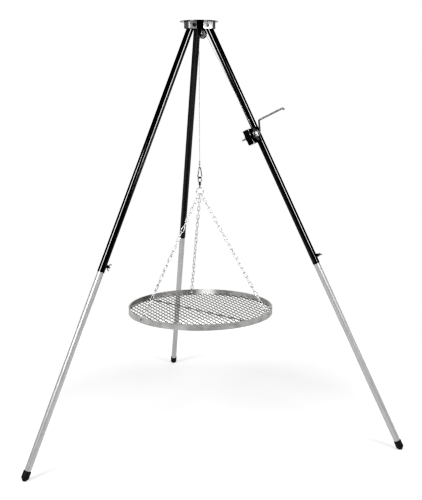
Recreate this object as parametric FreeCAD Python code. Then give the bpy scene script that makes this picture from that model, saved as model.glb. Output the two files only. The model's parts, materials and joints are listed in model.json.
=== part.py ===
"""Campfire tripod with a hanging grate: telescopic legs, pulley head, crank winch, chains and grate.

Millimetres, +Z up. The origin is on the ground, in the middle of the three feet.
The winch leg stands over +X, the rear leg at 120 degrees and the front leg at 240 degrees.
A leg's own frame has its origin on the hinge bolt, z up along the tube, x outwards from the
tripod in the plane in which the leg folds, and y along the hinge bolt.
"""

import FreeCAD, Part
import math
import os

from FreeCAD import Matrix, Placement, Rotation, Vector

# ---- driving dimensions ----
LEG_AZIMUTHS = {"winch": 0.0, "rear": 120.0, "front": 240.0}
HINGE_HEIGHT = 1655.0
HINGE_RADIUS = 38.0
LEG_TILT = 26.0

PLATE_RADIUS = 76.0
PLATE_THICKNESS = 3.0
HINGE_BELOW_PLATE = 13.5

UPPER_RADIUS = 14.0
UPPER_WALL = 1.2
UPPER_LENGTH = 1028.0
LOWER_RADIUS = 12.5
LOWER_WALL = 1.5
LOWER_TOP = 880.0
FOOT_RADIUS = 11.0
FOOT_HEIGHT = 9.5
CAP_RADIUS = 14.8
CAP_TOP = 1801.0
CAP_END = 1831.0

SHEET = 3.0
CHEEK_GAP = 14.6
BOLT_RADIUS = 4.0
RUNNING_GAP = 0.05
FREE_GAP = 0.3

CLAMP_AT = 1000.0
CLAMP_SIDES = {"winch": 1, "rear": 1, "front": -1}
WING_TURNS = {"winch": 68.0, "rear": 30.0, "front": 8.0}
SCREW_RADIUS = 3.0

CABLE_RADIUS = 1.0
SHEAVE_WRAP = 13.5
SHEAVE_HEIGHT = 1622.5
SHEAVE_RADIUS = 16.0
SHEAVE_HALF = 5.2
CHEEK_INSIDE = 5.6
CHEEK_SHEET = 2.0
FAR_CHEEK_RADIUS = 18.0
NEAR_CHEEK_RADIUS = 8.5

WINCH_AT = 469.0
AXLE_OUT = 46.0
CABLE_SIDE = 2.0
WINCH_OUT = 60.0
DRUM_WRAP = 15.0
WINCH_HALF = 30.0
CRANK_ARM = 78.0
CRANK_HANDLE = 107.0
CRANK_RADIUS = 3.8
CRANK_LEAN = 51.0
HUB_RADIUS = 11.0
PIN_RADIUS = 1.2

CABLE_END = 1123.0
HOOK_TOP = 1099.0
HOOK_BOTTOM = 1051.0
HOOK_WIRE = 2.5
HOOK_AZIMUTH = 60.0
GATE_HINGE = 2.6
EYE_BOTTOM = 1035.0
EYE_WIRE = 2.0
RING_RADIUS = 14.0
RING_WIRE = 2.0
RING_AZIMUTH = 20.0
RING_CENTRE = 1000.3
RING_SPREAD = {"front": -22.0, "rear": 0.0, "winch": 22.0}

GRATE_BOTTOM = 495.0
GRATE_RADIUS = 300.0
RIM_HEIGHT = 25.0
RIM_THICKNESS = 4.0
GRATE_TURN = -2.0
HOLE_HEIGHT = 508.0
BAR_AZIMUTH = 157.0
BAR_WIDTH = 7.0
BAR_THICKNESS = 3.0
MESH_THICKNESS = 2.5
MESH_LONG = 50.0
MESH_SHORT = 22.4
STRAND_WIDTH = 3.4
MESH_AZIMUTH = 113.0

LINK_WIRE = 1.5
LINK_HALF_WIDTH = 5.0
LINK_REACH = 12.6
LINK_SLACK = 0.2

X, Y, Z = Vector(1, 0, 0), Vector(0, 1, 0), Vector(0, 0, 1)
ORIGIN = Vector(0, 0, 0)


# ---- helpers ----
def export(name, *solids):
    """Write one node; several solids make a group."""
    parts = [s for shape in solids for s in shape.Solids]
    shape = parts[0] if len(parts) == 1 else Part.makeCompound(parts)
    shape.exportStep(os.path.join("parts", name + ".step"))
    volume = sum(s.Volume for s in parts) / 1000
    print(f"{name:24s} solids {len(parts):3d} volume {volume:9.2f} cm3 valid {shape.isValid()}")


def turned(azimuth):
    """A placement that turns a shape about the vertical axis."""
    return Placement(ORIGIN, Rotation(Z, azimuth))


def moved(shape, placement):
    """A copy of a shape carried by a placement."""
    copy = shape.copy()
    copy.transformShape(placement.toMatrix(), True)
    return copy


def leg_frame(name):
    """From a leg's own frame to the tripod's."""
    lean = Placement(Vector(HINGE_RADIUS, 0, HINGE_HEIGHT), Rotation(Y, -LEG_TILT))
    return turned(LEG_AZIMUTHS[name]).multiply(lean)


def frame_of(point, along, across):
    """A placement whose z runs along one direction and whose x is nearest to another."""
    z = Vector(along).normalize()
    x = (across - z * across.dot(z)).normalize()
    y = z.cross(x)
    m = Matrix(x.x, y.x, z.x, point.x, x.y, y.y, z.y, point.y, x.z, y.z, z.z, point.z, 0, 0, 0, 1)
    return Placement(m)


def rod(start, end, radius):
    """A round bar from one point to another."""
    run = end - start
    return Part.makeCylinder(radius, run.Length, start, run)


def tube(start, end, outer, inner):
    """A round tube from one point to another."""
    run = end - start
    overshoot = Vector(run).normalize() * 1.0
    bore = Part.makeCylinder(inner, run.Length + 2, start - overshoot, run)
    return Part.makeCylinder(outer, run.Length, start, run).cut(bore)


def block(x0, x1, y0, y1, z0, z1):
    """A box between limits."""
    return Part.makeBox(x1 - x0, y1 - y0, z1 - z0, Vector(x0, y0, z0))


def prism(points, height, base=0.0):
    """A straight prism over a closed outline in the XY plane."""
    corners = [Vector(x, y, base) for x, y in points]
    face = Part.Face(Part.makePolygon(corners + corners[:1]))
    return face.extrude(Vector(0, 0, height))


def hexagon(across_flats, height):
    """A hexagon head or nut standing on the XY plane."""
    radius = across_flats / math.sqrt(3)
    points = [(radius * math.cos(math.pi * k / 3), radius * math.sin(math.pi * k / 3)) for k in range(6)]
    return prism(points, height)


def turned_profile(points, base=ORIGIN, axis=Z):
    """A solid of revolution about Z from an outline of (radius, height) points."""
    corners = [Vector(r, 0, z) for r, z in points]
    face = Part.Face(Part.makePolygon(corners + corners[:1]))
    return face.revolve(base, axis, 360)


def rounded_path(points, bend):
    """Straight runs joined by tangent arcs of one radius."""
    edges, last = [], points[0]
    for before, corner, after in zip(points, points[1:], points[2:]):
        a, b = (before - corner).normalize(), (after - corner).normalize()
        half = math.acos(max(-1.0, min(1.0, a.dot(b)))) / 2
        reach = bend / math.tan(half)
        start, end = corner + a * reach, corner + b * reach
        middle = corner + (a + b).normalize() * (bend / math.sin(half) - bend)
        edges.append(Part.LineSegment(last, start).toShape())
        edges.append(Part.Arc(start, middle, end).toShape())
        last = end
    edges.append(Part.LineSegment(last, points[-1]).toShape())
    return Part.Wire(edges)


def bent_rod(points, bend, radius):
    """A round bar bent along straight runs."""
    path = rounded_path(points, bend)
    first = (points[1] - points[0]).normalize()
    section = Part.Wire(Part.makeCircle(radius, points[0], first))
    return path.makePipeShell([section], True, True)


def wire_ring(radius, wire, placement):
    """A closed ring of round wire, standing in the placement's XZ plane."""
    return moved(Part.makeTorus(radius, wire, ORIGIN, Y), placement)


# ---- head ----
PLATE_BOTTOM = HINGE_HEIGHT + HINGE_BELOW_PLATE
WEB_INSIDE = HINGE_BELOW_PLATE * math.tan(math.radians(LEG_TILT))
WEB_INSIDE += UPPER_RADIUS / math.cos(math.radians(LEG_TILT)) + 0.5


def head_plate():
    """The round top plate."""
    base = Vector(0, 0, PLATE_BOTTOM)
    plate = Part.makeCylinder(PLATE_RADIUS, PLATE_THICKNESS, base)
    rims = [e for e in plate.Edges if abs(e.Length - 2 * math.pi * PLATE_RADIUS) < 0.1]
    return plate.makeFillet(0.8, rims)


def leg_bracket():
    """A bent-sheet U, open towards the middle: its web stops the splayed leg."""
    outer_x = HINGE_RADIUS + WEB_INSIDE + SHEET
    inner_x = HINGE_RADIUS - 13.5
    half = CHEEK_GAP + SHEET
    low, high = HINGE_HEIGHT - HINGE_BELOW_PLATE, PLATE_BOTTOM
    body = block(inner_x, outer_x, -half, half, low, high)
    bends = [e for e in body.Edges if e.BoundBox.XMin > outer_x - 0.01 and e.BoundBox.ZLength > 20]
    body = body.makeFillet(SHEET + 1.5, bends)
    body = body.cut(block(inner_x - 1, outer_x - SHEET, -CHEEK_GAP, CHEEK_GAP, low - 1, high + 1))
    hinge = Vector(HINGE_RADIUS, -half - 1, HINGE_HEIGHT)
    body = body.cut(Part.makeCylinder(BOLT_RADIUS + RUNNING_GAP, 2 * half + 2, hinge, Y))
    corners = []
    for edge in body.Edges:
        box = edge.BoundBox
        at_inner_corner = box.XMax < inner_x + 0.01 and box.ZMax < low + 0.01
        if at_inner_corner and box.YLength > 2:
            corners.append(edge)
    return body.makeFillet(6.0, corners)


def hinge_bolt():
    """A hexagon bolt through both cheeks, with its head on the +Y side."""
    half = CHEEK_GAP + SHEET
    shank = rod(Vector(0, half, 0), Vector(0, -half - 10, 0), BOLT_RADIUS)
    head = moved(hexagon(13.0, 5.3), Placement(Vector(0, half, 0), Rotation(X, -90)))
    return shank.fuse(head).removeSplitter()


def hinge_nut():
    """The nut on the bolt's free end."""
    half = CHEEK_GAP + SHEET
    nut = moved(hexagon(13.0, 6.5), Placement(Vector(0, -half, 0), Rotation(X, 90)))
    return nut.cut(rod(Vector(0, -half + 1, 0), Vector(0, -half - 12, 0), BOLT_RADIUS))


# ---- telescopic legs ----
def leg_upper():
    """The outer tube: its top is rounded about the hinge bolt, its end has the clamp screw's hole."""
    raw = tube(Vector(0, 0, 12.4), Vector(0, 0, -UPPER_LENGTH), UPPER_RADIUS, UPPER_RADIUS - UPPER_WALL)
    top = block(-20, 20, -20, 20, 0, 20)
    round_end = Part.makeCylinder(12.4, 40, Vector(0, -20, 0), Y)
    raw = raw.cut(top.cut(round_end))
    raw = raw.cut(Part.makeCylinder(BOLT_RADIUS + RUNNING_GAP, 40, Vector(0, -20, 0), Y))
    return raw


def clamp_bore(side):
    """The hole for the clamp screw, through boss and tube wall."""
    start = Vector(side * (UPPER_RADIUS - 3), 0, -CLAMP_AT)
    return Part.makeCylinder(SCREW_RADIUS + RUNNING_GAP, 20, start, X * side)


def clamp_boss(side):
    """The tapered threaded boss welded to the tube."""
    base = Vector(side * (UPPER_RADIUS - 3), 0, -CLAMP_AT)
    boss = Part.makeCone(8.6, 6.0, 11, base, X * side)
    boss = boss.cut(Part.makeCylinder(UPPER_RADIUS, 30, Vector(0, 0, -CLAMP_AT - 15)))
    return boss.cut(clamp_bore(side))


def wing_screw(side, turn):
    """A wing screw: shank, round hub and two upright wings."""
    tip = LOWER_RADIUS + FREE_GAP
    face = UPPER_RADIUS + 8.0 + 0.5
    screw = Part.makeCylinder(SCREW_RADIUS, face + 6 - tip, Vector(0, 0, tip))
    hub = turned_profile([(0, face), (5.6, face), (4.6, face + 8), (2.8, face + 9.5), (0, face + 9.5)])
    wing = [(3.0, 1.5), (7.0, 3.0), (9.0, 6.5), (10.8, 12.0), (13.6, 12.6), (14.2, 8.5)]
    wing += [(12.0, 3.5), (8.0, 0.5), (3.0, 0.2)]
    outline = Part.makePolygon([Vector(x, -1.2, face + z) for x, z in wing + wing[:1]])
    right = Part.Face(outline).extrude(Vector(0, 2.4, 0))
    left = moved(right, turned(180))
    whole = screw.fuse([hub, right, left]).removeSplitter()
    whole = moved(whole, turned(turn))
    return moved(whole, frame_of(Vector(0, 0, -CLAMP_AT), X * side, Z))


def leg_lower():
    """The inner tube."""
    start, end = Vector(0, 0, -LOWER_TOP), Vector(0, 0, -CAP_END + 8)
    return tube(start, end, LOWER_RADIUS, LOWER_RADIUS - LOWER_WALL)


def foot_cap(frame):
    """The plastic end cap, with a round foot whose tip is flattened where it stands on the ground."""
    centre = (HINGE_HEIGHT - FOOT_HEIGHT) / math.cos(math.radians(LEG_TILT))
    cap = Part.makeCylinder(CAP_RADIUS, CAP_END - CAP_TOP, Vector(0, 0, -CAP_END))
    ends = [e for e in cap.Edges if abs(e.Length - 2 * math.pi * CAP_RADIUS) < 0.1]
    cap = cap.makeFillet(1.6, ends)
    foot = Part.makeSphere(FOOT_RADIUS, Vector(0, 0, -centre))
    pocket = Part.makeCylinder(LOWER_RADIUS, CAP_END, Vector(0, 0, -CAP_END + 8))
    whole = moved(cap.fuse(foot).cut(pocket).removeSplitter(), frame)
    ground = block(-2000, 2000, -2000, 2000, -50, 0)
    return whole.cut(ground)


# ---- winch on the winch leg, in that leg's frame ----
AXLE = Vector(0, -AXLE_OUT, -WINCH_AT)


def winch_box(x0, x1, out0, out1):
    """A box as high as the winch, by its distance out from the tube towards -Y."""
    return block(x0, x1, -out1, -out0, -WINCH_AT - WINCH_HALF, -WINCH_AT + WINCH_HALF)


def axle_bore(radius):
    """A bore for the crank's axle through the winch's plates."""
    return Part.makeCylinder(radius, 80, AXLE - X * 50, X)


def winch_frame():
    """The black back plate, welded along the tube, with the end plate that carries the axle."""
    back = winch_box(-34.0, 10.0, UPPER_RADIUS, UPPER_RADIUS + SHEET)
    end = winch_box(-34.0, -31.5, UPPER_RADIUS + SHEET, WINCH_OUT)
    frame = back.fuse(end).removeSplitter()
    return frame.cut(axle_bore(CRANK_RADIUS + RUNNING_GAP))


def winch_side_plate():
    """The zinc-plated plate between brake housing and drum."""
    plate = winch_box(-11.5, -8.7, UPPER_RADIUS + SHEET, WINCH_OUT + 0.5)
    return plate.cut(axle_bore(CRANK_RADIUS + RUNNING_GAP))


def brake_housing():
    """The closed black housing between the two plates, with the axle's bearing."""
    housing = winch_box(-31.5, -11.5, UPPER_RADIUS + SHEET, WINCH_OUT)
    return housing.cut(axle_bore(CRANK_RADIUS + RUNNING_GAP))


def cable_drum():
    """The black drum with two flanges."""
    flange, core = 28.0, 12.0
    left, right = -8.0, 8.0
    profile = [(CRANK_RADIUS, left), (flange, left), (flange, left + 2.0), (core, left + 2.6)]
    profile += [(core, right - 2.6), (flange, right - 2.0), (flange, right), (CRANK_RADIUS, right)]
    return moved(turned_profile(profile), frame_of(AXLE, X, Z))


def cable_coil():
    """The cable's turns on the drum, as their outer shape."""
    turns = turned_profile([(12.0, -5.2), (DRUM_WRAP - CABLE_RADIUS - FREE_GAP, -5.2),
                            (DRUM_WRAP - CABLE_RADIUS - FREE_GAP, 5.2), (12.0, 5.2)])
    return moved(turns, frame_of(AXLE, X, Z))


def crank_direction():
    """The crank arm's direction in the winch leg's frame."""
    lean = math.radians(CRANK_LEAN)
    return Vector(0, math.sin(lean), math.cos(lean))


def pin_rod(radius):
    """The split pin's round length, across the axle."""
    start = AXLE + Vector(-38.5, 0, -9.0)
    return rod(start, start + Z * 18.0, radius)


def crank_rod():
    """One bent bar: axle, arm, handle and the short turned end."""
    corner = AXLE + X * 24.6
    arm_end = corner + crank_direction() * CRANK_ARM
    handle_end = arm_end + X * CRANK_HANDLE
    tip = handle_end + X * 2.0 - Z * 8.0
    points = [AXLE - X * 54.0, corner, arm_end, handle_end, tip]
    return bent_rod(points, 5.0, CRANK_RADIUS).cut(pin_rod(PIN_RADIUS))


def hub_collar():
    """The bright collar against the drum's outer flange."""
    profile = [(CRANK_RADIUS, 8.0), (HUB_RADIUS, 8.0), (HUB_RADIUS, 14.0), (HUB_RADIUS - 1.5, 15.5)]
    profile += [(CRANK_RADIUS, 15.5)]
    return moved(turned_profile(profile), frame_of(AXLE, X, Z))


def split_pin():
    """The pin through the axle's inner end, outside the frame."""
    return pin_rod(PIN_RADIUS)


def axle_washer():
    """The washer between the end plate and the split pin."""
    ring = Part.makeCylinder(7.5, 1.5, AXLE - X * 36.2, X)
    return ring.cut(axle_bore(CRANK_RADIUS))


# ---- pulley and cable, in the plane of the cable ----
WINCH = leg_frame("winch")
DRUM_POINT = WINCH.multVec(AXLE + Vector(CABLE_SIDE, DRUM_WRAP, 0))
CABLE_AZIMUTH = math.degrees(math.atan2(DRUM_POINT.y, DRUM_POINT.x))
CABLE_PLANE = turned(CABLE_AZIMUTH)
SHEAVE_CENTRE = Vector(SHEAVE_WRAP, 0, SHEAVE_HEIGHT)


def cable_tangent():
    """Where the straight cable to the drum leaves the sheave, and its angle round the sheave."""
    drum = CABLE_PLANE.inverse().multVec(DRUM_POINT)
    run = drum - SHEAVE_CENTRE
    angle = math.atan2(run.z, run.x) + math.acos(SHEAVE_WRAP / run.Length)
    point = SHEAVE_CENTRE + Vector(math.cos(angle), 0, math.sin(angle)) * SHEAVE_WRAP
    return point, angle, drum


def pulley_cheek(side, radius, top_left, top_right):
    """One black side plate, round about the pin and straight up to the head plate."""
    start = Vector(SHEAVE_WRAP, CHEEK_INSIDE if side > 0 else -CHEEK_INSIDE - CHEEK_SHEET, SHEAVE_HEIGHT)
    disc = Part.makeCylinder(radius, CHEEK_SHEET, start, Y)
    pin = (SHEAVE_WRAP, SHEAVE_HEIGHT)
    left = tangent_point(pin, radius, (top_left, PLATE_BOTTOM), 1)
    right = tangent_point(pin, radius, (top_right, PLATE_BOTTOM), -1)
    outline = [left, (top_left, PLATE_BOTTOM), (top_right, PLATE_BOTTOM), right, pin]
    corners = [Vector(x, start.y, z) for x, z in outline]
    tail = Part.Face(Part.makePolygon(corners + corners[:1])).extrude(Vector(0, CHEEK_SHEET, 0))
    cheek = disc.fuse(tail).removeSplitter()
    bore = Part.makeCylinder(BOLT_RADIUS, 30, Vector(SHEAVE_WRAP, -15, SHEAVE_HEIGHT), Y)
    return moved(cheek.cut(bore), CABLE_PLANE)


def tangent_point(centre, radius, outside, side):
    """Where a straight line from an outside point touches a circle, on one side of it."""
    across, along = outside[0] - centre[0], outside[1] - centre[1]
    angle = math.atan2(along, across) + side * math.acos(radius / math.hypot(across, along))
    return centre[0] + radius * math.cos(angle), centre[1] + radius * math.sin(angle)


def pulley_pin():
    """The riveted pin on which the sheave turns."""
    profile = [(0, -10.2), (5.4, -9.2), (6.2, -7.6), (BOLT_RADIUS, -7.6), (BOLT_RADIUS, 7.6)]
    profile += [(6.2, 7.6), (5.4, 9.2), (0, 10.2)]
    pin = moved(turned_profile(profile), frame_of(SHEAVE_CENTRE, Y, X))
    return moved(pin, CABLE_PLANE)


def sheave():
    """The grooved wheel."""
    groove = SHEAVE_WRAP - CABLE_RADIUS - FREE_GAP
    bore = BOLT_RADIUS + RUNNING_GAP
    half = [(bore, SHEAVE_HALF), (7.5, SHEAVE_HALF), (8.2, 3.6), (11.6, 3.6), (12.4, 4.6)]
    half += [(SHEAVE_RADIUS, 4.6), (SHEAVE_RADIUS, 3.4), (groove, 1.6)]
    profile = half + [(r, -z) for r, z in reversed(half)]
    wheel = moved(turned_profile(profile), frame_of(SHEAVE_CENTRE, Y, X))
    return moved(wheel, CABLE_PLANE)


def cable_over_sheave():
    """The stretch of cable that lies in the sheave's groove."""
    point, angle, _ = cable_tangent()
    middle = (angle + math.pi) / 2
    left = SHEAVE_CENTRE - X * SHEAVE_WRAP
    top = SHEAVE_CENTRE + Vector(math.cos(middle), 0, math.sin(middle)) * SHEAVE_WRAP
    arc = Part.Wire(Part.Arc(left, top, point).toShape())
    section = Part.Wire(Part.makeCircle(CABLE_RADIUS, left, Z))
    return moved(arc.makePipeShell([section], True, True), CABLE_PLANE)


def cable_run():
    """The straight cable from the sheave to the drum."""
    point, _, drum = cable_tangent()
    return moved(rod(point, drum, CABLE_RADIUS), CABLE_PLANE)


def cable_drop():
    """The straight cable that hangs from the sheave to the first ferrule."""
    return rod(Vector(0, 0, SHEAVE_HEIGHT), Vector(0, 0, CABLE_END), CABLE_RADIUS)


# ---- hook, swivel and ring ----
LOOP_RADIUS = HOOK_WIRE + FREE_GAP + CABLE_RADIUS
HOOK_PLANE = turned(HOOK_AZIMUTH)
LOOP_PLANE = turned(HOOK_AZIMUTH - 90.0)
LOOP_CENTRE = HOOK_TOP - HOOK_WIRE


def cable_ferrule(low, high):
    """One crimped sleeve round the doubled cable."""
    body = block(-1.6, 1.6, -2.3, 2.3, low, high)
    for side in (-1, 1):
        body = body.fuse(Part.makeCylinder(2.3, high - low, Vector(side * 1.6, 0, low)))
    return moved(body.removeSplitter(), LOOP_PLANE)


def cable_loop():
    """The cable's end loop under the hook's top, and the doubled cable between the ferrules."""
    strand, low_ferrule, gap_low, gap_high = 1.3, 1105.7, 1113.3, 1114.8
    left = [Vector(-strand, 0, low_ferrule), Vector(-LOOP_RADIUS, 0, LOOP_CENTRE)]
    right = [Vector(LOOP_RADIUS, 0, LOOP_CENTRE), Vector(strand, 0, low_ferrule)]
    bottom = Part.Arc(left[1], Vector(0, 0, LOOP_CENTRE - LOOP_RADIUS), right[0]).toShape()
    sides = [Part.LineSegment(*pair).toShape() for pair in (left, right)]
    path = Part.Wire([sides[0], bottom, sides[1]])
    section = Part.Wire(Part.makeCircle(CABLE_RADIUS, left[0], left[1] - left[0]))
    loop = path.makePipeShell([section], True, True, 2)
    solids = [loop]
    for side in (-1, 1):
        foot, head = Vector(side * strand, 0, gap_low), Vector(side * strand, 0, gap_high)
        solids.append(rod(foot, head, CABLE_RADIUS))
    return [moved(s, LOOP_PLANE) for s in solids]


def hook_outline():
    """Centre line of the pear-shaped snap hook in its own plane, from the nose to the gate's pin."""
    small, large = 5.0, 10.0
    top, bottom = HOOK_TOP - HOOK_WIRE - small, HOOK_BOTTOM + HOOK_WIRE + large
    lean = math.asin((large - small) / (top - bottom))
    left_small = Vector(-small * math.cos(lean), 0, top + small * math.sin(lean))
    left_large = Vector(-large * math.cos(lean), 0, bottom + large * math.sin(lean))
    right_small = Vector(-left_small.x, 0, left_small.z)
    right_large = Vector(-left_large.x, 0, left_large.z)
    return left_small, left_large, right_small, right_large, top + small, bottom - large


def snap_hook():
    """The wire body of the snap hook, open where the gate closes it."""
    left_small, left_large, right_small, right_large, top, bottom = hook_outline()
    crown = Part.Arc(left_small, Vector(0, 0, top), right_small).toShape()
    side = Part.LineSegment(left_large, left_small).toShape()
    base = Part.Arc(right_large, Vector(0, 0, bottom), left_large).toShape()
    path = Part.Wire([base, side, crown])
    start = Vector(right_large)
    tangent = (right_small - right_large).normalize()
    section = Part.Wire(Part.makeCircle(HOOK_WIRE, start, tangent))
    body = path.makePipeShell([section], True, True)
    return moved(body, HOOK_PLANE)


def gate_axis():
    """The gate's pin, just above the large end's arc: a point and the gate's direction."""
    _, _, right_small, right_large, _, _ = hook_outline()
    along = (right_small - right_large).normalize()
    return right_large, along, (right_small - right_large).Length


def snap_gate():
    """The sprung gate that closes the hook's open side, rounded about its hinge point."""
    start, along, length = gate_axis()
    radius = HOOK_WIRE - FREE_GAP
    hinge = start + along * GATE_HINGE
    gate = rod(hinge, start + along * (length - 0.4), radius)
    gate = gate.fuse(Part.makeSphere(radius, hinge)).removeSplitter()
    return moved(gate, HOOK_PLANE)


def swivel_eye():
    """The swivel's upper half: a round eye over a bored barrel."""
    top = HOOK_BOTTOM + 2 * HOOK_WIRE + FREE_GAP + 2 * EYE_WIRE
    radius = (top - EYE_BOTTOM) / 2 - EYE_WIRE
    eye = wire_ring(radius, EYE_WIRE, Placement(Vector(0, 0, EYE_BOTTOM + EYE_WIRE + radius), Rotation()))
    eye = moved(eye, LOOP_PLANE)
    outline = [(0, 1024.0), (4.2, 1024.0), (5.2, 1025.5), (5.2, 1035.0), (3.6, 1037.5), (0, 1037.5)]
    barrel = turned_profile(outline)
    chamber = Part.makeCylinder(4.4, 5.0, Vector(0, 0, 1028.0))
    neck = Part.makeCylinder(2.3 + RUNNING_GAP, 8.0, Vector(0, 0, 1022.0))
    return eye.fuse(barrel).cut(chamber.fuse(neck)).removeSplitter()


def swivel_stem():
    """The swivel's lower half: a headed stem that carries the ring."""
    profile = [(0, 1013.6), (2.9, 1013.6), (2.9, 1018.0), (2.3, 1019.0), (2.3, 1028.3)]
    profile += [(4.0, 1028.3), (4.0, 1031.5), (0, 1031.5)]
    stem = turned_profile(profile)
    centre = Placement(Vector(0, 0, RING_CENTRE), Rotation(Z, RING_AZIMUTH))
    ring = wire_ring(RING_RADIUS, RING_WIRE + 0.001, centre)
    return stem.cut(ring)


def chain_ring():
    """The ring that gathers the three chains."""
    return wire_ring(RING_RADIUS, RING_WIRE, Placement(Vector(0, 0, RING_CENTRE), Rotation(Z, RING_AZIMUTH)))


# ---- grate ----
def grate_rim():
    """The flat-bar rim, with a hole for each chain's hook."""
    base = Vector(0, 0, GRATE_BOTTOM)
    top = base + Z * RIM_HEIGHT
    rim = tube(base, top, GRATE_RADIUS, GRATE_RADIUS - RIM_THICKNESS)
    for azimuth in LEG_AZIMUTHS.values():
        hole = Part.makeCylinder(4.0, 12, Vector(GRATE_RADIUS - 8, 0, HOLE_HEIGHT), X)
        rim = rim.cut(moved(hole, turned(azimuth + GRATE_TURN)))
    return rim


def support_bar():
    """The flat bar under the mesh, from rim to rim."""
    reach = GRATE_RADIUS
    bar = block(-reach, reach, -BAR_WIDTH / 2, BAR_WIDTH / 2, GRATE_BOTTOM, GRATE_BOTTOM + BAR_THICKNESS)
    bar = moved(bar, turned(BAR_AZIMUTH))
    inside = Part.makeCylinder(GRATE_RADIUS - RIM_THICKNESS, 30, Vector(0, 0, GRATE_BOTTOM - 5))
    return bar.common(inside)


def grate_mesh():
    """Expanded metal: a disc with rows of diamond openings."""
    radius = GRATE_RADIUS - RIM_THICKNESS
    low = GRATE_BOTTOM + BAR_THICKNESS
    angle = math.atan2(MESH_SHORT, MESH_LONG)
    half_long = MESH_LONG / 2 - STRAND_WIDTH / 2 / math.sin(angle)
    half_short = MESH_SHORT / 2 - STRAND_WIDTH / 2 / math.cos(angle)
    outline = [Part.Wire(Part.makeCircle(radius, ORIGIN))]
    rows = int(2 * radius / MESH_LONG) + 2
    columns = int(radius / MESH_SHORT) + 2
    for row in range(-rows, rows + 1):
        shift = 0.5 * (row % 2)
        for column in range(-columns, columns + 1):
            x, y = row * MESH_LONG / 2, (column + shift) * MESH_SHORT
            tips = [(x + half_long, y), (x, y + half_short), (x - half_long, y), (x, y - half_short)]
            if max(math.hypot(a, b) for a, b in tips) > radius - 3.0:
                continue
            corners = [Vector(a, b, 0) for a, b in tips]
            outline.append(Part.makePolygon(corners + corners[:1]))
    face = Part.makeFace(outline, "Part::FaceMakerBullseye")
    mesh = face.extrude(Vector(0, 0, MESH_THICKNESS))
    return moved(mesh, Placement(Vector(0, 0, low), Rotation(Z, MESH_AZIMUTH)))


# ---- chains ----
HOOK_HOLE = Vector(GRATE_RADIUS - RIM_THICKNESS / 2, 0, HOLE_HEIGHT)
HOOK_CORNER = HOOK_HOLE - X * 5.0
HOOK_PULL = (Vector(0, 0, RING_CENTRE - RING_RADIUS) - HOOK_CORNER).normalize()
HOOK_EYE = HOOK_CORNER + HOOK_PULL * 17.0


def rim_hook():
    """The wire hook through the rim's hole over +X, with the eye that takes the chain."""
    bend = HOOK_HOLE + X * 7.5
    points = [bend + Z * 8.0, bend, HOOK_CORNER, HOOK_EYE - HOOK_PULL * (LINK_HALF_WIDTH - 0.6)]
    shank = bent_rod(points, 3.0, LINK_WIRE - 0.05)
    loop = wire_ring(LINK_HALF_WIDTH, LINK_WIRE, frame_of(HOOK_EYE, HOOK_PULL, Z))
    return shank.fuse(loop).removeSplitter()


def chain_line(name):
    """One chain's lower end, upper end, and the level direction of each end link."""
    spin = turned(LEG_AZIMUTHS[name] + GRATE_TURN)
    around = math.radians(RING_SPREAD[name])
    ring_side = turned(RING_AZIMUTH).multVec(X)
    top = ring_side * (RING_RADIUS * math.sin(around)) + Z * (RING_CENTRE - RING_RADIUS * math.cos(around))
    bottom = spin.multVec(HOOK_EYE)
    axis = (top - bottom).normalize()
    wire = ring_side * math.cos(around) + Z * math.sin(around)
    top_side = wire.cross(axis).normalize()
    bottom_side = spin.multVec(Y)
    if top_side.dot(bottom_side) < 0:
        bottom_side = bottom_side * -1
    return bottom, top, axis, bottom_side, top_side


def chain_link():
    """One welded link in the XZ plane, centred at the origin, long along Z."""
    half = LINK_REACH - LINK_HALF_WIDTH
    w = LINK_HALF_WIDTH
    corners = [Vector(-w, 0, -half), Vector(-w, 0, half), Vector(w, 0, half), Vector(w, 0, -half)]
    sides = [Part.LineSegment(corners[0], corners[1]), Part.LineSegment(corners[2], corners[3])]
    top = Part.Arc(corners[1], Vector(0, 0, LINK_REACH), corners[2])
    bottom = Part.Arc(corners[3], Vector(0, 0, -LINK_REACH), corners[0])
    path = Part.Wire([sides[0].toShape(), top.toShape(), sides[1].toShape(), bottom.toShape()])
    section = Part.Wire(Part.makeCircle(LINK_WIRE, corners[0], Z))
    return path.makePipeShell([section], True, True)


def chain(name):
    """A straight chain of links, each a quarter turn from the last, with small uneven twists."""
    bottom, top, axis, bottom_side, top_side = chain_line(name)
    first = LINK_HALF_WIDTH - 2 * LINK_WIRE - LINK_SLACK / 2 + LINK_REACH
    last = (top - bottom).Length + RING_WIRE + LINK_WIRE + LINK_SLACK / 2 - LINK_REACH
    longest = 2 * LINK_REACH - 2 * LINK_WIRE - LINK_SLACK / 2
    count = int(math.ceil((last - first) / longest)) + 1
    pitch = (last - first) / (count - 1)
    odd = 90.0 * ((count - 1) % 2)
    links = []
    for k in range(count):
        share = k / (count - 1)
        side = bottom_side * (1 - share) + top_side * share
        wobble = 9.0 * math.sin(1.9 * k + 0.02 * LEG_AZIMUTHS[name]) * math.sin(math.pi * share)
        twist = 90.0 * (count - 1 - k) + odd * (1 - share) + wobble
        place = frame_of(bottom + axis * (first + pitch * k), axis, side)
        links.append(moved(chain_link(), place.multiply(Placement(ORIGIN, Rotation(Z, twist)))))
    print(f"chain {name}: {count} links, pitch {pitch:.2f}")
    return links


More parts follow.
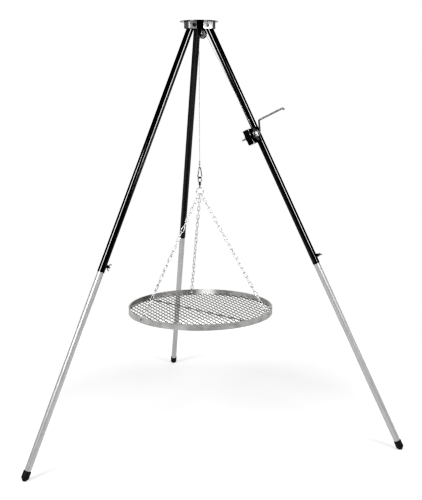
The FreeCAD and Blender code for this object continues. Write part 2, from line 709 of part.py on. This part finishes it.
def main():
    os.makedirs("parts", exist_ok=True)
    names = list(LEG_AZIMUTHS)
    export("head_plate", head_plate())
    bracket = leg_bracket()
    for name in names:
        export(f"leg_bracket_{name}", moved(bracket, turned(LEG_AZIMUTHS[name])))
    upright = Placement(Vector(HINGE_RADIUS, 0, HINGE_HEIGHT), Rotation())
    hinges = [turned(LEG_AZIMUTHS[n]).multiply(upright) for n in names]
    export("hinge_bolts", *[moved(hinge_bolt(), h) for h in hinges])
    export("hinge_nuts", *[moved(hinge_nut(), h) for h in hinges])
    for name in names:
        frame, side = leg_frame(name), CLAMP_SIDES[name]
        export(f"leg_upper_{name}", moved(leg_upper().cut(clamp_bore(side)), frame))
        export(f"clamp_boss_{name}", moved(clamp_boss(side), frame))
        export(f"wing_screw_{name}", moved(wing_screw(side, WING_TURNS[name]), frame))
        export(f"leg_lower_{name}", moved(leg_lower(), frame))
        export(f"foot_cap_{name}", foot_cap(frame))
    for make in (winch_frame, winch_side_plate, brake_housing, cable_drum, cable_coil, crank_rod,
                 hub_collar, split_pin, axle_washer):
        export(make.__name__, moved(make(), WINCH))
    export("pulley_cheek_left", pulley_cheek(1, FAR_CHEEK_RADIUS, -7.0, 15.0))
    export("pulley_cheek_right", pulley_cheek(-1, NEAR_CHEEK_RADIUS, -7.0, 9.0))
    for make in (pulley_pin, sheave, cable_over_sheave, cable_run, cable_drop,
                 snap_hook, snap_gate, swivel_eye, swivel_stem, chain_ring,
                 grate_rim, support_bar, grate_mesh):
        export(make.__name__, make())
    export("cable_ferrules", cable_ferrule(1106.0, 1113.3), cable_ferrule(1114.8, CABLE_END))
    export("cable_loop", *cable_loop())
    for name in names:
        spin = turned(LEG_AZIMUTHS[name] + GRATE_TURN)
        export(f"rim_hook_{name}", moved(rim_hook(), spin))
        export(f"chain_{name}", *chain(name))


main()
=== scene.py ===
"""Looks for the campfire tripod: camera, light, materials, and the detailed cable and expanded metal."""

import json
import math

import bmesh
import bpy
from mathutils import Matrix, Vector


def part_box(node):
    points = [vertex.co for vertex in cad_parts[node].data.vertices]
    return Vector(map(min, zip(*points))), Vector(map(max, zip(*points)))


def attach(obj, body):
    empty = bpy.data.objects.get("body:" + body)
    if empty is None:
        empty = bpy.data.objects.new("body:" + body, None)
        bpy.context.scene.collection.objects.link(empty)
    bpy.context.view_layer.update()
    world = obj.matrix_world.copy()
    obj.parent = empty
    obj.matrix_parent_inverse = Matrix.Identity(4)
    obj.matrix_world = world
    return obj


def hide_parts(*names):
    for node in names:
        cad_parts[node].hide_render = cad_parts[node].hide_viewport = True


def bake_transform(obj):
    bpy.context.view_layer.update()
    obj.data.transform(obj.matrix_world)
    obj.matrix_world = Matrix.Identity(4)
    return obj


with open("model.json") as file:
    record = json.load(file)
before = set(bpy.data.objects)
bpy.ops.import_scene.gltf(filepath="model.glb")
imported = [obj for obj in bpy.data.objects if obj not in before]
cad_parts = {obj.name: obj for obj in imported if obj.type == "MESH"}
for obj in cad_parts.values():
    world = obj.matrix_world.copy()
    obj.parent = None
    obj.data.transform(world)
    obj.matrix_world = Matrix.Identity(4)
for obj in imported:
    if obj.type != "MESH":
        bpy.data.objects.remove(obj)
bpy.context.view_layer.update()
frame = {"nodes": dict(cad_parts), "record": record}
nodes = frame["nodes"]
joints = {joint["name"]: joint for joint in frame["record"]["behaviour"]["joints"]}

MM = 0.001
UP = Vector((0, 0, 1))
AHEAD = Vector((0, 1, 0))


# ---- camera ----
# place and look in metres, roll in radians, lens and sensor in millimetres
CAMERA_PLACE = (1.1663, -3.1774, 1.3794)
CAMERA_LOOK = (-0.32666, 0.92761, -0.18119)
CAMERA_ROLL = -0.0031
CAMERA_LENS = 59.89
CAMERA_SENSOR = 36.0
CAMERA_NEAR = 0.05
CAMERA_FAR = 60.0


def make_camera():
    """The camera at the photograph's viewing angle, rolled about its own line of sight."""
    data = bpy.data.cameras.new("camera")
    data.lens = CAMERA_LENS
    data.sensor_fit = "AUTO"
    data.sensor_width = CAMERA_SENSOR
    data.clip_start = CAMERA_NEAR
    data.clip_end = CAMERA_FAR
    camera = bpy.data.objects.new("camera", data)
    bpy.context.collection.objects.link(camera)
    look = Vector(CAMERA_LOOK).normalized()
    right = look.cross(UP).normalized()
    up = right.cross(look)
    cosine, sine = math.cos(CAMERA_ROLL), math.sin(CAMERA_ROLL)
    rolled_right = right * cosine + up * sine
    rolled_up = up * cosine - right * sine
    camera.matrix_world = Matrix((
        (rolled_right.x, rolled_up.x, -look.x, CAMERA_PLACE[0]),
        (rolled_right.y, rolled_up.y, -look.y, CAMERA_PLACE[1]),
        (rolled_right.z, rolled_up.z, -look.z, CAMERA_PLACE[2]),
        (0, 0, 0, 1),
    ))
    bpy.context.scene.camera = camera


# ---- light and floor ----
SOFT_BOXES = (
    # name, azimuth and elevation in degrees, distance, width and height in metres, radiance
    ("soft_box_left", -112, 23.5, 3.3, 1.2, 1.55, 20.0),
    ("soft_box_right", -29, 25, 3.3, 1.0, 1.5, 20.0),
    ("fill_right", 10, 2, 3.3, 1.2, 1.2, 2.2),
    ("soft_box_top", 60, 80, 3.0, 1.6, 1.6, 3.0),
)
SOFT_BOX_AIM = Vector((0, 0, 0.95))

# the room's light: dim at the sides, a white backdrop about one azimuth, a white floor below
BACKDROP_AZIMUTH = math.radians(109.0)
BACKDROP_EDGE = (0.8, 0.92)     # cosine of the angle from the backdrop's middle
FLOOR_EDGE = (-0.22, -0.04)     # sine of the elevation
SIDE_LIGHT = 0.13
BACKDROP_LIGHT = 0.9
FLOOR_LIGHT = 0.8

# the floor disc: as far out as FLOOR_PLAIN it takes shadows, then it fades to white at its edge
FLOOR_RADIUS = 1.7
FLOOR_PLAIN = 0.75
FLOOR_GLOW = 0.5
FLOOR_WHITE = 0.5
FLOOR_SIDES = 96
FLOOR_DROP = 0.2 * MM

# linear light and the light it is shown as: the darks fall to black, as in a print
TONE_CURVE = ((0.05, 0.009), (0.13, 0.08), (0.35, 0.35))
COMBINED_CURVE = 3


def make_world():
    """White for the camera. The light it gives: a dim room, a white backdrop behind, white floor below."""
    world = bpy.data.worlds.new("studio")
    bpy.context.scene.world = world
    world.use_nodes = True
    tree = world.node_tree
    tree.nodes.clear()
    place = tree.nodes.new("ShaderNodeTexCoord")

    facing = tree.nodes.new("ShaderNodeVectorMath")
    facing.operation = "DOT_PRODUCT"
    facing.inputs[1].default_value = (math.cos(BACKDROP_AZIMUTH), math.sin(BACKDROP_AZIMUTH), 0)
    tree.links.new(place.outputs["Generated"], facing.inputs[0])
    split = tree.nodes.new("ShaderNodeSeparateXYZ")
    tree.links.new(place.outputs["Generated"], split.inputs[0])
    shares = []
    for source, edge, before, after in (
        (facing.outputs["Value"], BACKDROP_EDGE, SIDE_LIGHT, BACKDROP_LIGHT),
        (split.outputs["Z"], FLOOR_EDGE, FLOOR_LIGHT, 0.0),
    ):
        share = tree.nodes.new("ShaderNodeMapRange")
        for key, number in zip(("From Min", "From Max", "To Min", "To Max"), (*edge, before, after)):
            share.inputs[key].default_value = number
        tree.links.new(source, share.inputs["Value"])
        shares.append(share.outputs["Result"])
    brighter = tree.nodes.new("ShaderNodeMath")
    brighter.operation = "MAXIMUM"
    tree.links.new(shares[0], brighter.inputs[0])
    tree.links.new(shares[1], brighter.inputs[1])

    room = tree.nodes.new("ShaderNodeBackground")
    tree.links.new(brighter.outputs[0], room.inputs["Strength"])
    backdrop = tree.nodes.new("ShaderNodeBackground")
    for node in (room, backdrop):
        node.inputs["Color"].default_value = (1, 1, 1, 1)
    path = tree.nodes.new("ShaderNodeLightPath")
    mix = tree.nodes.new("ShaderNodeMixShader")
    out = tree.nodes.new("ShaderNodeOutputWorld")
    tree.links.new(path.outputs["Is Camera Ray"], mix.inputs["Fac"])
    tree.links.new(room.outputs[0], mix.inputs[1])
    tree.links.new(backdrop.outputs[0], mix.inputs[2])
    tree.links.new(mix.outputs[0], out.inputs["Surface"])


def make_lights():
    """Soft boxes on both sides of the camera, a weak fill on the right and a weak one above."""
    for name, azimuth, elevation, distance, width, height, radiance in SOFT_BOXES:
        a, e = math.radians(azimuth), math.radians(elevation)
        out = Vector((math.cos(a) * math.cos(e), math.sin(a) * math.cos(e), math.sin(e)))
        data = bpy.data.lights.new(name, "AREA")
        data.shape = "RECTANGLE"
        data.size = width
        data.size_y = height
        data.energy = radiance * math.pi * width * height
        light = bpy.data.objects.new(name, data)
        light.location = SOFT_BOX_AIM + out * distance
        light.rotation_euler = (-out).to_track_quat("-Z", "Y").to_euler()
        light.visible_camera = False
        bpy.context.collection.objects.link(light)


def make_floor():
    """A plain pale round floor that takes faint shadows near the feet and fades into the backdrop."""
    mesh = bpy.data.meshes.new("floor")
    bm = bmesh.new()
    bmesh.ops.create_circle(bm, cap_ends=True, segments=FLOOR_SIDES, radius=FLOOR_RADIUS)
    bm.to_mesh(mesh)
    bm.free()
    floor = bpy.data.objects.new("floor", mesh)
    floor.location.z = -FLOOR_DROP
    bpy.context.collection.objects.link(floor)
    g = Graph("floor_white")
    glow = g.ramp(g.distance((0, 0, 0)), FLOOR_PLAIN, FLOOR_RADIUS, FLOOR_GLOW, 1.0)
    g.join(glow, g.shader.inputs["Emission Strength"])
    g.shader.inputs["Emission Color"].default_value = (1, 1, 1, 1)
    g.shader.inputs["Base Color"].default_value = (FLOOR_WHITE, FLOOR_WHITE, FLOOR_WHITE, 1)
    g.shader.inputs["Roughness"].default_value = 1.0
    g.shader.inputs["Specular IOR Level"].default_value = 0.0
    mesh.materials.append(g.material)


def set_contrast():
    """A photographic print's contrast: the deepest darks fall to black."""
    settings = bpy.context.scene.view_settings
    settings.view_transform = "Standard"
    settings.use_curve_mapping = True
    curve = settings.curve_mapping.curves[COMBINED_CURVE]
    for light, shown in TONE_CURVE:
        curve.points.new(light, shown)
    settings.curve_mapping.update()


# ---- materials ----
NOISE_ROUGHNESS = 0.55
NOISE_RANGE = (0.3, 0.7)        # where nearly all of the noise lies
# the Mix node's colour sockets, which share their names with its other kinds
MIX_FACTOR, MIX_A, MIX_B, MIX_RESULT = 0, 6, 7, 2


class Graph:
    """A material's node graph. Texture scales are per metre of the object's own frame."""

    def __init__(self, name):
        self.material = bpy.data.materials.new(name)
        self.material.use_nodes = True
        self.nodes = self.material.node_tree.nodes
        self.links = self.material.node_tree.links
        self.shader = self.nodes["Principled BSDF"]
        self.place = self.add("ShaderNodeTexCoord").outputs["Object"]

    def add(self, kind, **settings):
        """A new node with its settings."""
        node = self.nodes.new(kind)
        for key, value in settings.items():
            setattr(node, key, value)
        return node

    def join(self, source, target):
        """A link from one socket to another."""
        self.links.new(source, target)

    def noise(self, scale, detail=3.0, stretch=None):
        """Noise over the object's own place, from 0 to 1; stretch scales each axis."""
        node = self.add("ShaderNodeTexNoise")
        node.inputs["Scale"].default_value = scale
        node.inputs["Detail"].default_value = detail
        node.inputs["Roughness"].default_value = NOISE_ROUGHNESS
        place = self.place
        if stretch:
            mapping = self.add("ShaderNodeMapping")
            mapping.inputs["Scale"].default_value = stretch
            self.join(place, mapping.inputs["Vector"])
            place = mapping.outputs["Vector"]
        self.join(place, node.inputs["Vector"])
        return node.outputs["Fac"]

    def cells(self, scale):
        """Random grey per cell, as in zinc spangle."""
        node = self.add("ShaderNodeTexVoronoi")
        node.inputs["Scale"].default_value = scale
        self.join(self.place, node.inputs["Vector"])
        grey = self.add("ShaderNodeRGBToBW")
        self.join(node.outputs["Color"], grey.inputs[0])
        return grey.outputs[0]

    def ramp(self, value, low, high, out_low=0.0, out_high=1.0):
        """The value taken from low..high to out_low..out_high, and held at the ends."""
        node = self.add("ShaderNodeMapRange")
        for key, number in zip(("From Min", "From Max", "To Min", "To Max"), (low, high, out_low, out_high)):
            node.inputs[key].default_value = number
        self.join(value, node.inputs["Value"])
        return node.outputs["Result"]

    def patches(self, scale, low, high, most=1.0, detail=3.0):
        """Patches of noise: none where it is under low, and the most where it is over high."""
        return self.ramp(self.noise(scale, detail), low, high, 0.0, most)

    def blend(self, factor, dark, light):
        """A colour between two, by a factor."""
        node = self.add("ShaderNodeMix", data_type="RGBA")
        node.inputs[MIX_A].default_value = (*dark, 1)
        node.inputs[MIX_B].default_value = (*light, 1)
        self.join(factor, node.inputs[MIX_FACTOR])
        return node.outputs[MIX_RESULT]

    def cover(self, factor, under, colour):
        """A colour over another socket's, by a factor."""
        node = self.add("ShaderNodeMix", data_type="RGBA")
        node.inputs[MIX_B].default_value = (*colour, 1)
        self.join(under, node.inputs[MIX_A])
        self.join(factor, node.inputs[MIX_FACTOR])
        return node.outputs[MIX_RESULT]

    def times(self, a, b):
        """The product of two sockets."""
        node = self.add("ShaderNodeMath", operation="MULTIPLY")
        self.join(a, node.inputs[0])
        self.join(b, node.inputs[1])
        return node.outputs[0]

    def edges(self, low, high):
        """Bright along convex edges, by how pointed the surface is."""
        geometry = self.add("ShaderNodeNewGeometry")
        return self.ramp(geometry.outputs["Pointiness"], low, high)

    def distance(self, point):
        """Metres from a point of the object's own frame."""
        node = self.add("ShaderNodeVectorMath", operation="DISTANCE")
        node.inputs[1].default_value = point
        self.join(self.place, node.inputs[0])
        return node.outputs["Value"]

    def bump(self, height, distance):
        """A relief of this many metres."""
        node = self.add("ShaderNodeBump")
        node.inputs["Strength"].default_value = 1.0
        node.inputs["Distance"].default_value = distance
        self.join(height, node.inputs["Height"])
        self.join(node.outputs["Normal"], self.shader.inputs["Normal"])

    def colour(self, socket):
        """The shader's colour comes from this socket."""
        self.join(socket, self.shader.inputs["Base Color"])

    def roughness(self, scale, low, high, stretch=None):
        """Roughness that varies between two values over the surface."""
        varied = self.ramp(self.noise(scale, stretch=stretch), *NOISE_RANGE, low, high)
        self.join(varied, self.shader.inputs["Roughness"])

    def metal(self, amount):
        """How metallic the surface is, from 0 to 1."""
        self.shader.inputs["Metallic"].default_value = amount


RUBBED_GREY = (0.04, 0.04, 0.04)
TUBE_DARK, TUBE_LIGHT, TUBE_WORN = (0.31, 0.31, 0.31), (0.39, 0.39, 0.385), (0.43, 0.43, 0.42)


def shade(colour, amount):
    """A colour made darker or lighter."""
    return tuple(amount * channel for channel in colour)


def powder_coat(name, dark, light, rough_low, rough_high):
    """Black coating with a faint orange peel and rubbed edges."""
    g = Graph(name)
    rubbed = g.times(g.edges(0.6, 0.75), g.patches(90, 0.5, 0.7))
    g.colour(g.cover(rubbed, g.blend(g.noise(14), dark, light), RUBBED_GREY))
    g.roughness(40, rough_low, rough_high)
    g.bump(g.noise(300, 1.0), 0.006 * MM)
    return g.material


def zinc(name, dark, light, rough_low, rough_high, spangle):
    """Galvanised or plated steel: spangle, small stains and fine pits."""
    g = Graph(name)
    base = g.blend(g.cells(spangle), dark, light)
    stains = g.patches(45, 0.56, 0.74, most=0.3, detail=4)
    g.colour(g.cover(stains, base, shade(dark, 0.6)))
    g.roughness(120, rough_low, rough_high)
    g.bump(g.noise(300, 2.0), 0.0015 * MM)
    g.metal(1.0)
    return g.material


def drawn_tube(name):
    """Satin galvanised tube with fine streaks along its length."""
    g = Graph(name)
    streaks = g.noise(60, 4, stretch=(1, 1, 0.05))
    worn = g.patches(9, 0.5, 0.8, most=0.4)
    g.colour(g.cover(worn, g.blend(streaks, TUBE_DARK, TUBE_LIGHT), TUBE_WORN))
    g.roughness(150, 0.3, 0.38, stretch=(1, 1, 0.1))
    g.bump(g.noise(500, 2, stretch=(1, 1, 0.08)), 0.006 * MM)
    g.metal(0.5)
    return g.material


def moulded_plastic(name, dark, light):
    """Plain moulded plastic with a fine grain and scuffs."""
    g = Graph(name)
    scuffs = g.patches(260, 0.62, 0.78, most=0.35, detail=4)
    g.colour(g.cover(scuffs, g.blend(g.noise(20), dark, light), shade(light, 1.8)))
    g.roughness(80, 0.42, 0.6)
    g.bump(g.noise(900, 2), 0.02 * MM)
    return g.material


# a painted highlight: near-white colour on the back of the rim's inner face, where light catches the rim's
# hollow
HIGHLIGHT_AZIMUTH = math.radians(104.5)
HIGHLIGHT_REACH = (15.0 * MM, 50.0 * MM)     # painted highlight in full as far as the first, none beyond the second
HIGHLIGHT_RISE = 12.0 * MM                   # above the rim's lower edge
HIGHLIGHT_WHITE = (0.95, 0.95, 0.95)
RIM_THICK = 4.0 * MM
ALONG_RIM = (0.12, 0.12, 1)              # brushing lies level, so its noise is stretched level


def rim_highlight_spot():
    """The middle of the painted highlight on the rim's inner face."""
    low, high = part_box("grate_rim")
    radius = (high.x - low.x) / 2 - RIM_THICK
    return radius * math.cos(HIGHLIGHT_AZIMUTH), radius * math.sin(HIGHLIGHT_AZIMUTH), low.z + HIGHLIGHT_RISE


def brushed(name, dark, light, rough_low, rough_high, painted_highlight=None):
    """Satin stainless steel: fine brushing, broad dull and bright patches, and perhaps a painted highlight.
    """
    g = Graph(name)
    lines = g.noise(260, 2, stretch=ALONG_RIM)
    base = g.blend(g.patches(7, 0.38, 0.62, detail=2), dark, light)
    base = g.cover(g.ramp(lines, 0.45, 0.7, 0, 0.3), base, shade(light, 1.25))
    if painted_highlight:
        # painted highlight: near-white colour round a point on the rim's inner face, fading out with
        # distance
        base = g.cover(g.ramp(g.distance(painted_highlight), *HIGHLIGHT_REACH, 1.0, 0.0), base, HIGHLIGHT_WHITE)
    g.colour(base)
    g.roughness(25, rough_low, rough_high)
    g.bump(lines, 0.002 * MM)
    g.metal(0.65)
    return g.material


# slot: dark and light colour, lowest and highest roughness, and for zinc its spangle's cells per metre
POWDER_COATS = {
    "black_coat": ((0.004, 0.004, 0.0045), (0.008, 0.008, 0.0085), 0.1, 0.15),
    "winch_black": ((0.004, 0.004, 0.0045), (0.009, 0.009, 0.009), 0.14, 0.2),
}
ZINCS = {
    "bright_zinc": ((0.24, 0.24, 0.245), (0.28, 0.28, 0.285), 0.4, 0.48, 200),
    "bolt_zinc": ((0.07, 0.07, 0.07), (0.1, 0.1, 0.1), 0.3, 0.4, 300),
    "crank_zinc": ((0.12, 0.12, 0.12), (0.14, 0.14, 0.135), 0.42, 0.5, 200),
    "hook_steel": ((0.14, 0.14, 0.14), (0.22, 0.22, 0.22), 0.2, 0.3, 300),
    "ring_zinc": ((0.46, 0.46, 0.455), (0.54, 0.54, 0.53), 0.28, 0.38, 300),
    "hub_zinc": ((0.78, 0.78, 0.78), (0.86, 0.86, 0.86), 0.4, 0.5, 200),
    "chain_zinc": ((0.5, 0.5, 0.495), (0.6, 0.6, 0.59), 0.3, 0.4, 400),
    "cable_steel": ((0.22, 0.22, 0.22), (0.36, 0.36, 0.36), 0.3, 0.42, 900),
    "ferrule_alu": ((0.5, 0.5, 0.51), (0.62, 0.62, 0.63), 0.3, 0.45, 500),
}
PLASTICS = {
    "black_plastic": ((0.004, 0.004, 0.004), (0.007, 0.007, 0.007)),
    "sheave_grey": ((0.05, 0.05, 0.05), (0.07, 0.07, 0.07)),
}
RIM_FINISH = ((0.22, 0.22, 0.215), (0.46, 0.455, 0.45), 0.3, 0.38)
MESH_FINISH = ((0.11, 0.108, 0.104), (0.17, 0.166, 0.16), 0.5, 0.6)


def make_materials():
    """One material per slot of the record."""
    made = {}
    for maker, finishes in ((powder_coat, POWDER_COATS), (zinc, ZINCS), (moulded_plastic, PLASTICS)):
        for slot, finish in finishes.items():
            made[slot] = maker(slot, *finish)
    made["grey_tube"] = drawn_tube("grey_tube")
    # the rim's colour carries a painted highlight on its inner face
    made["grate_steel"] = brushed("grate_steel", *RIM_FINISH, rim_highlight_spot())
    made["mesh_steel"] = brushed("mesh_steel", *MESH_FINISH)
    return made


def paint_cad(materials):
    """Every CAD node gets its slot's material."""
    for part in frame["record"]["subparts"]:
        shape = nodes[part["node"]]
        shape.data.materials.clear()
        shape.data.materials.append(materials[part["material_slot"]])


# ---- mesh helpers ----
def place_mesh(name, bm, material, body):
    """Turn a bmesh into a smooth-shaded piece. It rides on the body, or on none if no body is given."""
    mesh = bpy.data.meshes.new(name)
    bmesh.ops.recalc_face_normals(bm, faces=bm.faces)
    bm.to_mesh(mesh)
    bm.free()
    mesh.materials.append(material)
    mesh.shade_smooth()
    piece = bpy.data.objects.new(name, mesh)
    bpy.context.collection.objects.link(piece)
    if body:
        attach(piece, body)
    return piece


def sweep(bm, centres, across, up, outline):
    """Sweep an outline of (across, up) offsets through centres, with one across and up vector per centre."""
    rings = []
    for centre, a, u in zip(centres, across, up):
        rings.append([bm.verts.new(centre + a * x + u * y) for x, y in outline])
    count = len(outline)
    for first, second in zip(rings, rings[1:]):
        for k in range(count):
            n = (k + 1) % count
            bm.faces.new((first[k], first[n], second[n], second[k]))
    bm.faces.new(rings[0][::-1])
    bm.faces.new(rings[-1])


def circle(radius, sides):
    """A round outline."""
    angles = [2 * math.pi * k / sides for k in range(sides)]
    return [(radius * math.cos(angle), radius * math.sin(angle)) for angle in angles]


def frames_along(points, first_across):
    """An across and an up vector at each point, carried along the path without twist."""
    across, up = [], []
    side = first_across
    for k, point in enumerate(points):
        after = points[min(k + 1, len(points) - 1)]
        before = points[max(k - 1, 0)]
        tangent = (after - before).normalized()
        side = (side - tangent * side.dot(tangent)).normalized()
        across.append(side)
        up.append(tangent.cross(side))
    return across, up


# ---- steel cable ----
CABLE_RADIUS = 1.0 * MM
CABLE_LAY = 13.0 * MM           # length of one full twist
STRANDS = 6                     # round a core strand
STRAND_FULLNESS = 1.04          # neighbours bite into each other a little
STRAND_SIDES = 6


def add_strands(bm, points, first_across):
    """Twisted strands round a centre line, with a core strand. Points are evenly spaced."""
    across, up = frames_along(points, first_across)
    strand = CABLE_RADIUS / 3 * STRAND_FULLNESS
    offset = CABLE_RADIUS - strand
    step = (points[1] - points[0]).length
    for k in range(STRANDS + 1):
        centres, turned_across, turned_up = [], [], []
        for n, point in enumerate(points):
            angle = 2 * math.pi * (k / STRANDS + n * step / CABLE_LAY)
            out = across[n] * math.cos(angle) + up[n] * math.sin(angle)
            centres.append(point + out * (offset if k < STRANDS else 0.0))
            turned_across.append(out)
            turned_up.append(up[n] * math.cos(angle) - across[n] * math.sin(angle))
        sweep(bm, centres, turned_across, turned_up, circle(strand, STRAND_SIDES))


def line(start, end, spacing):
    """Evenly spaced points on a straight line."""
    count = max(2, round((end - start).length / spacing) + 1)
    return [start.lerp(end, k / (count - 1)) for k in range(count)]


WRAP = Vector(joints["sheave_turn"]["pos_m"])
DRUM = Vector(joints["crank_turn"]["pos_m"])
DRUM_AXIS = Vector(joints["crank_turn"]["axis"]).normalized()
CABLE_TOP = Vector((0, 0, WRAP.z))
CABLE_BOTTOM = Vector((0, 0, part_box("cable_drop")[0].z))
STRAND_STEP = CABLE_LAY / 8
DRUM_SIDE = 2.0 * MM            # where the cable meets its turns on the drum, from the drum's middle
DRUM_WRAP = 15.0 * MM
DRUM_POINT = DRUM + DRUM_AXIS * DRUM_SIDE + AHEAD * DRUM_WRAP
SHEAVE_STEPS = 24


def cable_tangent():
    """The sheave's outward direction, and the radius and angle at which the cable leaves it for the drum."""
    out = Vector((WRAP.x, WRAP.y, 0)).normalized()
    radius = Vector((WRAP.x, WRAP.y)).length
    reach = Vector(((DRUM_POINT - WRAP).dot(out), DRUM_POINT.z - WRAP.z))
    angle = math.atan2(reach.y, reach.x) + math.acos(radius / reach.length)
    return out, radius, angle


def make_cable(material):
    """The stranded cable: to the drum, over the sheave and down to the ferrules."""
    out, radius, angle = cable_tangent()
    side = out.cross(UP)
    leave = WRAP + (out * math.cos(angle) + UP * math.sin(angle)) * radius

    bm = bmesh.new()
    add_strands(bm, line(leave, DRUM_POINT, STRAND_STEP), side)
    run = place_mesh("cable_to_drum", bm, material, None)
    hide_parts("cable_run")
    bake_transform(run)

    arc = []
    for k in range(SHEAVE_STEPS + 1):
        a = math.pi + (angle - math.pi) * k / SHEAVE_STEPS
        arc.append(WRAP + (out * math.cos(a) + UP * math.sin(a)) * radius)
    bm = bmesh.new()
    add_strands(bm, arc, side)
    over = place_mesh("cable_round_sheave", bm, material, "head")
    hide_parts("cable_over_sheave")

    bm = bmesh.new()
    add_strands(bm, line(CABLE_TOP, CABLE_BOTTOM, STRAND_STEP), side)
    drop = place_mesh("cable_hanging", bm, material, None)
    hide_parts("cable_drop")
    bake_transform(drop)


COIL_RADIUS = 12.85 * MM
COIL_WIRE = 0.95 * MM
COIL_TURNS = 5
COIL_PITCH = 2 * COIL_WIRE * 1.02
COIL_STEPS = 40                 # points per turn
COIL_SIDES = 10


def make_coil(material):
    """The cable's turns on the drum."""
    aside = DRUM_AXIS.cross(AHEAD)
    points = []
    for k in range(COIL_TURNS * COIL_STEPS + 1):
        turn = k / COIL_STEPS
        along = (turn - COIL_TURNS / 2) * COIL_PITCH
        angle = 2 * math.pi * turn
        out = AHEAD * math.cos(angle) + aside * math.sin(angle)
        points.append(DRUM + DRUM_AXIS * along + out * COIL_RADIUS)
    bm = bmesh.new()
    across, up = frames_along(points, DRUM_AXIS)
    sweep(bm, points, across, up, circle(COIL_WIRE, COIL_SIDES))
    coil = place_mesh("cable_turns", bm, material, "crank")
    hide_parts("cable_coil")


# ---- expanded metal ----
MESH_LONG = 50.0 * MM
MESH_SHORT = 22.4 * MM
MESH_AZIMUTH = math.radians(113.0)
STRAND_WIDTH = 4.2 * MM
STRAND_THICK = 1.3 * MM
STRAND_ROUND = 0.35 * MM
STRAND_TILT = math.radians(-30.0)
KNUCKLE = 7.0 * MM              # length of the flat where two rows meet
MESH_EDGE = 0.9 * MM            # the strands' ends stop short of the sheet's edge
SLOPE_SHARES = (0.0, 0.25, 0.5, 0.75)
FEWEST_POINTS = 3               # a shorter strand is left out


def strand_outline():
    """A flat strand's rounded section, tilted about its length."""
    w, t, r = STRAND_WIDTH / 2, STRAND_THICK / 2, STRAND_ROUND
    upper = [(w, t - r), (w - r, t), (r - w, t), (-w, t - r)]
    lower = [(-x, -y) for x, y in upper]
    c, s = math.cos(STRAND_TILT), math.sin(STRAND_TILT)
    return [(x * c - y * s, x * s + y * c) for x, y in upper + lower]


HALF_WIDE = STRAND_WIDTH / 2 * math.cos(STRAND_TILT)
RISE = STRAND_WIDTH / 2 * math.sin(STRAND_TILT)


def zigzag(row, periods):
    """One row's turning points: places along the row, and 0 or 1 for the knuckle line each lies on."""
    # even rows start on the near knuckle line, odd rows mirror them
    near, far = (0.0, 1.0) if row % 2 == 0 else (1.0, 0.0)
    flat, slope = KNUCKLE / 2, MESH_LONG / 2 - KNUCKLE
    climbed = flat + slope
    turns = ((flat, near), (climbed, far), (climbed + KNUCKLE, far), (climbed + KNUCKLE + slope, near))
    return [(period * MESH_LONG + x, level) for period in range(-periods, periods) for x, level in turns]


def strand_points(row, periods, middle_z):
    """Points along one row's strand in the mesh's own directions, several to each stretch."""
    row_y = (row // 2) * MESH_SHORT + (0.0 if row % 2 == 0 else MESH_SHORT / 2)
    turns = zigzag(row, periods)
    points = []
    for (xa, la), (xb, lb) in zip(turns, turns[1:]):
        for share in SLOPE_SHARES:
            level = la + (lb - la) * share
            x = xa + (xb - xa) * share
            y = row_y + HALF_WIDE + (MESH_SHORT / 2 - 2 * HALF_WIDE) * level
            points.append((x, y, middle_z + RISE * (1 - 2 * level)))
    return points


def make_mesh(material):
    """Rows of zigzag strands that meet at the knuckles, cut to the rim's inside."""
    low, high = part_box("grate_mesh")
    radius = (high.x - low.x) / 2 - MESH_EDGE
    middle_z = low.z + 2 * abs(RISE) + STRAND_THICK / 2 * math.cos(STRAND_TILT)
    long_way = Vector((math.cos(MESH_AZIMUTH), math.sin(MESH_AZIMUTH), 0))
    short_way = Vector((-long_way.y, long_way.x, 0))
    outline = strand_outline()
    rows = int(radius / (MESH_SHORT / 2)) + 2
    periods = int(radius / MESH_LONG) + 2
    bm = bmesh.new()
    for row in range(-rows, rows + 1):
        points = strand_points(row, periods, middle_z)
        inside = [p for p in points if math.hypot(p[0], p[1]) < radius]
        if len(inside) < FEWEST_POINTS:
            continue
        centres = [long_way * x + short_way * y + UP * z for x, y, z in inside]
        sweep(bm, centres, [short_way] * len(centres), [UP] * len(centres), outline)
    mesh = place_mesh("expanded_metal", bm, material, "grate")
    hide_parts("grate_mesh")


make_camera()
make_world()
make_lights()
make_floor()
set_contrast()
materials = make_materials()
paint_cad(materials)
make_cable(materials["cable_steel"])
make_coil(materials["cable_steel"])
make_mesh(materials["mesh_steel"])
